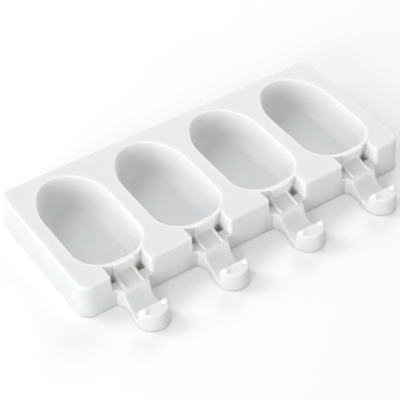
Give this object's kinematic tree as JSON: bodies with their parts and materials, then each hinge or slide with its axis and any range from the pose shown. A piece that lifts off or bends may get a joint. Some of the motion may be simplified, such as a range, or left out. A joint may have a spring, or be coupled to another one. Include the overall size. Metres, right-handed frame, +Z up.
{
  "type": "ice pop mould",
  "caption": "Flexible tray mould for ice pops: a row of bar cavities, each with a stick slot in a notch and a bending arm whose head holds the end of the stick.",
  "frame": {"origin": "middle of the whole footprint, on the plane the mould stands on", "axes": "+X along the row of cavities, -Y the way the arms point, +Z up"},
  "size_m": [0.197, 0.1124, 0.0193],
  "materials": {
    "silicone": "smooth matt white food silicone"
  },
  "bodies": {
    "root": {"mould": "silicone"}
  },
  "joints": []
}
